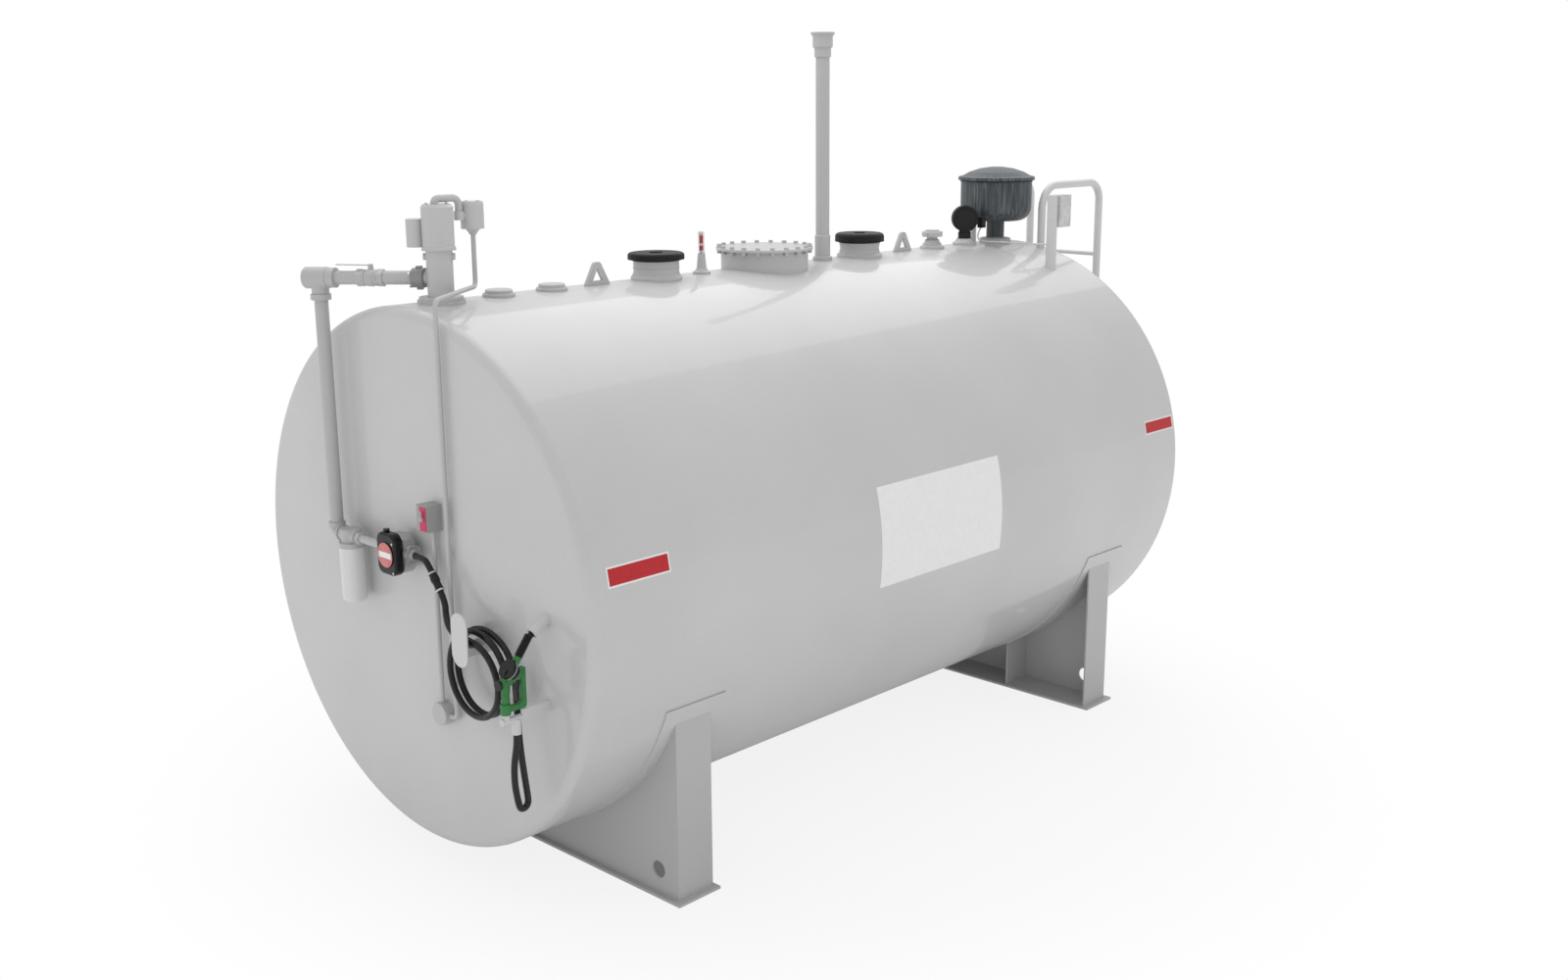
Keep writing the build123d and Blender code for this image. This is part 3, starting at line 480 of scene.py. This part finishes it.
def hose_route():
    """Control points of the whole hose."""
    route = [
        (HOSE_X, -0.125, HOSE_Z),
        (HOSE_X, -0.188, HOSE_Z),
        BREAK_TOP - BREAK_WAY * BREAK_STUB_TOP,
        BREAK_LOW + BREAK_WAY * BREAK_STUB_LOW,
        (-2.308, -0.358, 1.312),
        (-2.328, -0.396, 1.277),
        (-2.338, -0.446, 1.254),
        (-2.338, -0.500, 1.248),
    ]
    route += [coil_point(step) for step in range(COIL_END_STEP + 1)]
    route += [
        (-2.262, -0.735, 1.200),
        (-2.290, -0.800, 1.110),
        (-2.330, -0.856, 1.004),
        (-2.346, -0.882, 0.921),
        (-2.344, -0.887, 0.850),
        (-2.337, -0.890, 0.770),
        (-2.330, -0.895, 0.690),
    ]
    route += [loop_corner(corner) for corner in reversed(range(LOOP_CORNERS))]
    route += [
        (-2.396, -0.914, 0.695),
        (-2.404, -0.917, 0.750),
        (-2.404, -0.920, 0.825),
        (-2.389, -0.925, 0.908),
        (-2.389, -0.925, 0.953),
    ]
    return [Vector(place) for place in route]


def round_line(name, route, diameter, finish):
    """Smooth round line on a NURBS curve through control points."""
    data = bpy.data.curves.new(name, "CURVE")
    data.dimensions = "3D"
    data.bevel_depth = diameter / 2
    data.bevel_resolution = 6
    data.resolution_u = 10
    data.use_fill_caps = True
    line = data.splines.new("NURBS")
    line.points.add(len(route) - 1)
    for point, place in zip(line.points, route):
        point.co = (*place, 1)
    line.order_u = 3
    line.use_endpoint_u = True
    data.materials.append(finish)
    piece = bpy.data.objects.new(name, data)
    bpy.context.scene.collection.objects.link(piece)
    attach(piece, TANK)
    return piece


HOSE = round_line("dispensing_hose", hose_route(), HOSE_D, RUBBER)
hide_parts("supply_hose", "hose_coil", "hose_loop")


# Meshes made in code
def finished(name, mesh, material, body=TANK, smooth_deg=40):
    """Link a mesh as a finished piece at the origin, riding on its body."""
    mesh.materials.clear()
    mesh.materials.append(material)
    piece = bpy.data.objects.new(name, mesh)
    bpy.context.scene.collection.objects.link(piece)
    mesh.set_sharp_from_angle(angle=math.radians(smooth_deg))
    mesh.shade_smooth()
    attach(piece, body)
    return piece


def turning_frame(origin, direction):
    """Matrix whose Z runs along direction from origin."""
    along = Vector(direction).normalized()
    helper = Vector((0, 1, 0)) if abs(along.z) > 0.9 else Vector((0, 0, 1))
    across = helper.cross(along).normalized()
    third = along.cross(across)
    turn = Matrix((across, third, along)).transposed().to_4x4()
    return Matrix.Translation(origin) @ turn


def lathe(name, origin, direction, profile, segments=48, hollow=False):
    """Turned mesh from radius and height pairs, capped or closed on itself."""
    place = turning_frame(origin, direction)
    build = bmesh.new()
    rings = []
    for radius, height in profile:
        ring = []
        for step in range(segments):
            angle = 2 * math.pi * step / segments
            point = Vector((radius * math.cos(angle), radius * math.sin(angle), height))
            ring.append(build.verts.new(place @ point))
        rings.append(ring)
    beside = rings[1:] + rings[:1] if hollow else rings[1:]
    for low, high in zip(rings, beside):
        for step in range(segments):
            after = (step + 1) % segments
            build.faces.new((low[step], low[after], high[after], high[step]))
    if not hollow:
        build.faces.new(list(reversed(rings[0])))
        build.faces.new(rings[-1])
    bmesh.ops.recalc_face_normals(build, faces=build.faces)
    mesh = bpy.data.meshes.new(name)
    build.to_mesh(mesh)
    build.free()
    return mesh


def ring_mesh(name, origin, direction, radius, bead, segments=64, around=8):
    """Closed round bead in a circle, such as a weld or a clamp ring."""
    place = turning_frame(origin, direction)
    build = bmesh.new()
    rows = []
    for step in range(segments):
        angle = 2 * math.pi * step / segments
        row = []
        for part in range(around):
            turn = 2 * math.pi * part / around
            reach = radius + bead * math.cos(turn)
            row.append(
                build.verts.new(
                    place
                    @ Vector(
                        (
                            reach * math.cos(angle),
                            reach * math.sin(angle),
                            bead * math.sin(turn),
                        )
                    )
                )
            )
        rows.append(row)
    for step, row in enumerate(rows):
        after = rows[(step + 1) % segments]
        for part in range(around):
            beside = (part + 1) % around
            build.faces.new((row[part], after[part], after[beside], row[beside]))
    bmesh.ops.recalc_face_normals(build, faces=build.faces)
    mesh = bpy.data.meshes.new(name)
    build.to_mesh(mesh)
    build.free()
    return mesh


def plain_disc(name, origin, direction, radius, thick, finish):
    """Flat disc that starts at origin."""
    profile = ((radius, 0), (radius, thick * 0.7), (radius * 0.985, thick))
    return finished(name, lathe(name, origin, direction, profile, 64), finish)


def plain_box(name, low, high, finish, edge=0.0006):
    """Box between two corners with softened edges."""
    build = bmesh.new()
    bmesh.ops.create_cube(build, size=1.0)
    low, high = Vector(low), Vector(high)
    for vertex in build.verts:
        vertex.co = low + Vector(
            (high - low)[axis] * (vertex.co[axis] + 0.5) for axis in range(3)
        )
    bmesh.ops.bevel(build, geom=list(build.edges), offset=edge, segments=2, affect="EDGES")
    mesh = bpy.data.meshes.new(name)
    build.to_mesh(mesh)
    build.free()
    return finished(name, mesh, finish)


# Bolts and screws set in a ring by Geometry Nodes
def bolt_ring_tree():
    """Tree that sets many-sided heads on a circle and joins them."""
    tree = bpy.data.node_groups.new("bolt_ring", "GeometryNodeTree")
    face = tree.interface
    face.new_socket("Geometry", in_out="OUTPUT", socket_type="NodeSocketGeometry")
    for label, kind in (
        ("Count", "NodeSocketInt"),
        ("Ring Radius", "NodeSocketFloat"),
        ("Head Radius", "NodeSocketFloat"),
        ("Head Height", "NodeSocketFloat"),
        ("Sides", "NodeSocketInt"),
        ("Finish", "NodeSocketMaterial"),
    ):
        face.new_socket(label, in_out="INPUT", socket_type=kind)
    add = tree.nodes.new
    link = tree.links.new
    given = add("NodeGroupInput").outputs
    circle = add("GeometryNodeMeshCircle")
    link(given["Count"], circle.inputs["Vertices"])
    link(given["Ring Radius"], circle.inputs["Radius"])
    head = add("GeometryNodeMeshCylinder")
    link(given["Sides"], head.inputs["Vertices"])
    link(given["Head Radius"], head.inputs["Radius"])
    link(given["Head Height"], head.inputs["Depth"])
    place = add("GeometryNodeInputPosition")
    turn = add("FunctionNodeAlignEulerToVector")
    turn.axis = "X"
    turn.pivot_axis = "Z"
    link(place.outputs["Position"], turn.inputs["Vector"])
    spread = add("GeometryNodeInstanceOnPoints")
    link(circle.outputs["Mesh"], spread.inputs["Points"])
    link(head.outputs["Mesh"], spread.inputs["Instance"])
    link(turn.outputs["Rotation"], spread.inputs["Rotation"])
    joined = add("GeometryNodeRealizeInstances")
    link(spread.outputs["Instances"], joined.inputs["Geometry"])
    coloured = add("GeometryNodeSetMaterial")
    link(joined.outputs["Geometry"], coloured.inputs["Geometry"])
    link(given["Finish"], coloured.inputs["Material"])
    link(coloured.outputs["Geometry"], add("NodeGroupOutput").inputs["Geometry"])
    return tree


BOLT_RING = bolt_ring_tree()
BOLT_SIDES = 6


def bolt_ring(name, origin, direction, count, ring_r, head_r, height, finish, turn=0.0):
    """Ring of heads around a point, as one finished mesh."""
    blank = bpy.data.meshes.new(name + "_blank")
    holder = bpy.data.objects.new(name + "_blank", blank)
    bpy.context.scene.collection.objects.link(holder)
    modifier = holder.modifiers.new("bolt_ring", "NODES")
    modifier.node_group = BOLT_RING
    values = {
        "Count": count,
        "Ring Radius": ring_r,
        "Head Radius": head_r,
        "Head Height": height,
        "Sides": BOLT_SIDES,
        "Finish": finish,
    }
    for item in BOLT_RING.interface.items_tree:
        if item.in_out == "INPUT" and item.name in values:
            modifier[item.identifier] = values[item.name]
    bpy.context.view_layer.update()
    graph = bpy.context.evaluated_depsgraph_get()
    mesh = bpy.data.meshes.new_from_object(holder.evaluated_get(graph))
    bpy.data.objects.remove(holder)
    mesh.name = name
    place = turning_frame(origin, direction) @ Matrix.Rotation(turn, 4, "Z")
    mesh.transform(place)
    return finished(name, mesh, finish, smooth_deg=30)


# Manway bolts: heads above the cover and ends below it
MANWAY_X = 0.015
MANWAY_BOLTS = 20
MANWAY_BOLT_RING = 0.238
cover_low, cover_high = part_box("manway_cover")
bolt_ring(
    "manway_bolt_heads",
    (MANWAY_X, 0, cover_high.z + 0.006),
    (0, 0, 1),
    MANWAY_BOLTS,
    MANWAY_BOLT_RING,
    head_r=0.0125,
    height=0.012,
    finish=FITTING_GREY,
)
bolt_ring(
    "manway_bolt_ends",
    (MANWAY_X, 0, cover_low.z - 0.009),
    (0, 0, 1),
    MANWAY_BOLTS,
    MANWAY_BOLT_RING,
    head_r=0.0115,
    height=0.018,
    finish=FITTING_GREY,
)


# Hose line and nozzle
for label, low, high in (
    ("breakaway_top_ring", 0.001, 0.008),
    ("breakaway_low_ring", BREAK_LENGTH - 0.009, BREAK_LENGTH - 0.001),
):
    profile = ((0.0212, low), (0.0218, low + 0.001), (0.0218, high - 0.001), (0.0212, high))
    finished(label, lathe(label, BREAK_TOP, BREAK_WAY, profile), STEEL)

BOOT_TOP = Vector((HEAD_X - 0.102, NOZZLE_Y, 1.334))
BOOT_WAY = (-65, 0, -85)
BOOT_RIBS = 11
BOOT_RIB_START = -0.018
BOOT_RIB_PITCH = 0.0086
BOOT_GROOVE_R = 0.0153
BOOT_RIB_R = 0.0182
boot_profile = [(0.0145, -0.0205)]
for rib in range(BOOT_RIBS):
    foot = BOOT_RIB_START + rib * BOOT_RIB_PITCH
    boot_profile += [
        (BOOT_GROOVE_R, foot),
        (BOOT_RIB_R, foot + 0.0022),
        (BOOT_RIB_R, foot + 0.0050),
        (BOOT_GROOVE_R, foot + 0.0070),
    ]
finished("spout_boot", lathe("spout_boot", BOOT_TOP, BOOT_WAY, boot_profile), PART_BLACK)

# Light ring along the rim of the black valve cap: a painted highlight of the cap's edge
finished(
    "nozzle_cap_rim_highlight",
    ring_mesh("nozzle_cap_rim_highlight", (-2.409, NOZZLE_Y, 1.228), VALVE_WAY, 0.0396, 0.0013),
    SWIVEL_WHITE,
)
plain_box("nozzle_tag", (-2.402, -0.946, 1.238), (-2.386, -0.940, 1.252), TAG_YELLOW)


# Meter label, screws and outlet bolts
LABEL_X = -2.3540
LABEL_Y = 0.0095
LABEL_Z = 1.511
LABEL_R = 0.0555
BAR_HALF_Y = 0.045
BAR_HALF_Z = 0.013
plain_disc("meter_label", (LABEL_X, LABEL_Y, LABEL_Z), (-1, 0, 0), LABEL_R, 0.0006, LABEL_RED)
plain_box(
    "meter_label_bar",
    (LABEL_X - 0.0011, LABEL_Y - BAR_HALF_Y, LABEL_Z - BAR_HALF_Z),
    (LABEL_X - 0.0002, LABEL_Y + BAR_HALF_Y, LABEL_Z + BAR_HALF_Z),
    SIGN_WHITE,
    0.0002,
)
for label, place in (
    ("meter_screw_high", (-2.3500, -0.042, 1.567)),
    ("meter_screw_low", (-2.3500, -0.042, 1.436)),
):
    plain_disc(label, place, (-1, 0, 0), 0.0055, 0.0015, STEEL)
bolt_ring(
    "meter_outlet_bolts",
    (-2.278, -0.099, 1.520),
    (0, -1, 0),
    count=4,
    ring_r=0.031,
    head_r=0.0075,
    height=0.009,
    finish=STEEL,
    turn=math.radians(45),
)


# Float gauge: thin clear tube with a striped rod inside
GAUGE_X = -0.438
GAUGE_LOW = 2.677
GAUGE_HIGH = 2.787
TUBE_R = 0.0170
TUBE_WALL = 0.0018
ROD_R = 0.0105
tube_profile = (
    (TUBE_R, GAUGE_LOW),
    (TUBE_R, GAUGE_HIGH - 0.008),
    (0.0120, GAUGE_HIGH),
    (0.0015, GAUGE_HIGH),
    (0.0015, GAUGE_HIGH - TUBE_WALL),
    (0.0112, GAUGE_HIGH - TUBE_WALL),
    (TUBE_R - TUBE_WALL, GAUGE_HIGH - 0.0085),
    (TUBE_R - TUBE_WALL, GAUGE_LOW),
)
tube = finished(
    "gauge_tube",
    lathe("gauge_tube", (GAUGE_X, 0, 0), (0, 0, 1), tube_profile, hollow=True),
    CLEAR,
)
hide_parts("level_gauge_dome")
for label, low, high, finish in (
    ("gauge_rod_low", 2.678, 2.693, SIGN_WHITE),
    ("gauge_float_low", 2.693, 2.717, FLOAT_RED),
    ("gauge_rod_middle", 2.717, 2.729, SIGN_WHITE),
    ("gauge_float_high", 2.729, 2.768, FLOAT_RED),
    ("gauge_rod_top", 2.768, 2.782, SIGN_WHITE),
):
    profile = ((ROD_R, low), (ROD_R, high))
    finished(label, lathe(label, (GAUGE_X, 0, 0), (0, 0, 1), profile, 24), finish)


# Cable of the dial gauge, along the top to the alarm post
CABLE_D = 0.009
CABLE_ROUTE = (
    (1.796, -0.065, 2.676),
    (1.766, -0.067, 2.645),
    (1.764, -0.070, 2.604),
    (1.822, -0.085, 2.592),
    (1.833, -0.250, 2.597),
    (1.860, -0.488, 2.595),
)
round_line("alarm_cable", [Vector(place) for place in CABLE_ROUTE], CABLE_D, SWIVEL_WHITE)


# Beads, rims and screws on the top fittings
for label, place, radius, bead, finish in (
    ("near_vent_bead", (-0.743, 0, 2.632), 0.1122, 0.0022, FITTING_GREY),
    ("near_vent_rim", (-0.743, 0, 2.6655), 0.1135, 0.0024, FITTING_GREY),
    ("far_vent_rim", (0.770, 0, 2.6528), 0.1120, 0.0022, FITTING_GREY),
    ("vent_pipe_bead", (0.465, 0, 2.711), 0.0400, 0.0018, WHITE_PAINT),
    ("spill_rim", (2.030, 0, 2.9375), 0.2135, 0.0040, DRUM),
    ("pump_foot_bead", (PUMP_X, 0, 2.8045), 0.0735, 0.0020, PUMP_GREY),
    ("filter_seam", (HOSE_X, 0.376, 1.4685), 0.0578, 0.0018, WHITE_PAINT),
):
    finished(label, ring_mesh(label, place, (0, 0, 1), radius, bead), finish)
bolt_ring(
    "union_bolts",
    Vector((PUMP_X, 0, LINE_Z)) + UNION_WAY * UNION_BOLTS_AT,
    UNION_WAY,
    count=4,
    ring_r=0.0395,
    head_r=0.0075,
    height=0.010,
    finish=STEEL,
    turn=math.radians(30),
)
for label, place, count, ring_r, size in (
    ("pump_head_screws", (PUMP_X, 0, 3.000), 6, 0.050, 0.006),
    ("junction_screws", (-1.815, 0, 3.003), 4, 0.036, 0.004),
):
    bolt_ring(label, place, (0, 0, 1), count, ring_r, size, size, PUMP_GREY)


# Bare signs: thin curved sheets on the shell, the red faces over white ones
SIGN_THICK = 0.0008
SIGN_LIFT = 0.0002
SIGN_FACE_LIFT = 0.0011
SIGN_EDGE = 0.008
SIGN_COLUMNS = 2
SIGN_ROWS = 16


def shell_panel(name, x_low, x_high, z_low, z_high, lift, finish):
    """Sheet that follows the shell between two heights."""
    columns, rows = SIGN_COLUMNS, SIGN_ROWS
    build = bmesh.new()
    layers = []
    for reach in (TANK_R + lift, TANK_R + lift + SIGN_THICK):
        grid = []
        for row in range(rows + 1):
            height = z_low + (z_high - z_low) * row / rows
            rise = math.asin((height - AXIS_Z) / TANK_R)
            line = []
            for column in range(columns + 1):
                x = x_low + (x_high - x_low) * column / columns
                y = -reach * math.cos(rise)
                line.append(build.verts.new((x, y, AXIS_Z + reach * math.sin(rise))))
            grid.append(line)
        layers.append(grid)
    inner, outer = layers
    for grid in layers:
        for row in range(rows):
            for column in range(columns):
                build.faces.new(
                    (
                        grid[row][column],
                        grid[row][column + 1],
                        grid[row + 1][column + 1],
                        grid[row + 1][column],
                    )
                )
    for row in range(rows):
        for column in (0, columns):
            build.faces.new(
                (
                    inner[row][column],
                    inner[row + 1][column],
                    outer[row + 1][column],
                    outer[row][column],
                )
            )
    for column in range(columns):
        for row in (0, rows):
            build.faces.new(
                (
                    inner[row][column],
                    inner[row][column + 1],
                    outer[row][column + 1],
                    outer[row][column],
                )
            )
    bmesh.ops.recalc_face_normals(build, faces=build.faces)
    mesh = bpy.data.meshes.new(name)
    build.to_mesh(mesh)
    build.free()
    return finished(name, mesh, finish)


def small_sign(name, x_low, x_high, z_low, z_high):
    """Red plate with a narrow white edge."""
    shell_panel(name + "_edge", x_low, x_high, z_low, z_high, SIGN_LIFT, SIGN_WHITE)
    inner = (x_low + SIGN_EDGE, x_high - SIGN_EDGE, z_low + SIGN_EDGE, z_high - SIGN_EDGE)
    shell_panel(name, *inner, SIGN_FACE_LIFT, SIGN_RED)


small_sign("near_sign", -2.120, -1.785, 1.556, 1.640)
small_sign("far_sign", 1.870, 2.163, 1.562, 1.638)
shell_panel("side_panel", -0.465, 0.480, 1.186, 1.670, SIGN_LIFT, SIGN_WHITE)


# Light and stage
LAMP_PLACE = (3.1, 1.83, 6.0)
LAMP_TURN = math.radians(8)
LAMP_LENGTH = 12.0
LAMP_WIDTH = 5.5
LAMP_POWER = 215
WORLD_LIGHT = 0.74
FLOOR_HALF = 60.0
FLOOR_Z = -0.001
FADE_START = 2.0


def overhead_light():
    """Wide soft lamp above the tank, whose edge shows in the enamel."""
    data = bpy.data.lights.new("overhead_light", "AREA")
    data.shape = "RECTANGLE"
    data.size = LAMP_LENGTH
    data.size_y = LAMP_WIDTH
    data.energy = LAMP_POWER
    lamp = bpy.data.objects.new("overhead_light", data)
    lamp.location = LAMP_PLACE
    lamp.rotation_euler = (0, 0, LAMP_TURN)
    bpy.context.scene.collection.objects.link(lamp)


overhead_light()


def backdrop():
    """World that is white to the camera and soft grey as a light."""
    world = bpy.data.worlds.new("backdrop")
    bpy.context.scene.world = world
    world.use_nodes = True
    tree = world.node_tree
    tree.nodes.clear()
    output = tree.nodes.new("ShaderNodeOutputWorld")
    light = tree.nodes.new("ShaderNodeBackground")
    light.inputs["Color"].default_value = (1, 1, 1, 1)
    light.inputs["Strength"].default_value = WORLD_LIGHT
    seen = tree.nodes.new("ShaderNodeBackground")
    seen.inputs["Color"].default_value = (1, 1, 1, 1)
    seen.inputs["Strength"].default_value = 1.0
    rays = tree.nodes.new("ShaderNodeLightPath")
    mix = tree.nodes.new("ShaderNodeMixShader")
    tree.links.new(rays.outputs["Is Camera Ray"], mix.inputs["Fac"])
    tree.links.new(light.outputs["Background"], mix.inputs[1])
    tree.links.new(seen.outputs["Background"], mix.inputs[2])
    tree.links.new(mix.outputs["Shader"], output.inputs["Surface"])


backdrop()


def floor():
    """Pale floor that keeps the tank's soft shadow, fades to white around it and glows as
    painted bounce light, dimmer near the tank as painted shade.
    """
    build = bmesh.new()
    corners = ((-1, -1), (1, -1), (1, 1), (-1, 1))
    build.faces.new(
        [build.verts.new((x * FLOOR_HALF, y * FLOOR_HALF, FLOOR_Z)) for x, y in corners]
    )
    mesh = bpy.data.meshes.new("floor")
    build.to_mesh(mesh)
    build.free()
    material = bpy.data.materials.new("floor")
    material.use_nodes = True
    tree = material.node_tree
    shader = tree.nodes["Principled BSDF"]
    shader.inputs["Base Color"].default_value = (0.86, 0.86, 0.86, 1)
    shader.inputs["Roughness"].default_value = 0.9
    shader.inputs["Specular IOR Level"].default_value = 0.0
    white = tree.nodes.new("ShaderNodeEmission")
    white.inputs["Strength"].default_value = 1.0
    coords = tree.nodes.new("ShaderNodeTexCoord")
    away = tree.nodes.new("ShaderNodeVectorMath")
    away.operation = "LENGTH"
    rays = tree.nodes.new("ShaderNodeLightPath")
    share = tree.nodes.new("ShaderNodeMix")
    # Share of plain white by distance: for other rays, then for the camera's. For other rays
    # the white glow is painted bounce light on the tank, kept low near the tank as painted
    # shade under it
    for socket, reach, low, high in ((2, 4.4, 0.18, 1.1), (3, 3.6, 0.84, 1.0)):
        fade = tree.nodes.new("ShaderNodeMapRange")
        fade.interpolation_type = "SMOOTHSTEP"
        fade.inputs["From Min"].default_value = FADE_START
        fade.inputs["From Max"].default_value = reach
        fade.inputs["To Min"].default_value = low
        fade.inputs["To Max"].default_value = high
        tree.links.new(away.outputs["Value"], fade.inputs["Value"])
        tree.links.new(fade.outputs["Result"], share.inputs[socket])
    mix = tree.nodes.new("ShaderNodeMixShader")
    tree.links.new(coords.outputs["Object"], away.inputs[0])
    tree.links.new(rays.outputs["Is Camera Ray"], share.inputs[0])
    tree.links.new(share.outputs[0], mix.inputs["Fac"])
    tree.links.new(shader.outputs["BSDF"], mix.inputs[1])
    tree.links.new(white.outputs["Emission"], mix.inputs[2])
    tree.links.new(mix.outputs["Shader"], tree.nodes["Material Output"].inputs["Surface"])
    mesh.materials.append(material)
    plane = bpy.data.objects.new("floor", mesh)
    bpy.context.scene.collection.objects.link(plane)


floor()
bpy.context.scene.view_settings.view_transform = "Standard"

hose_route()[0]
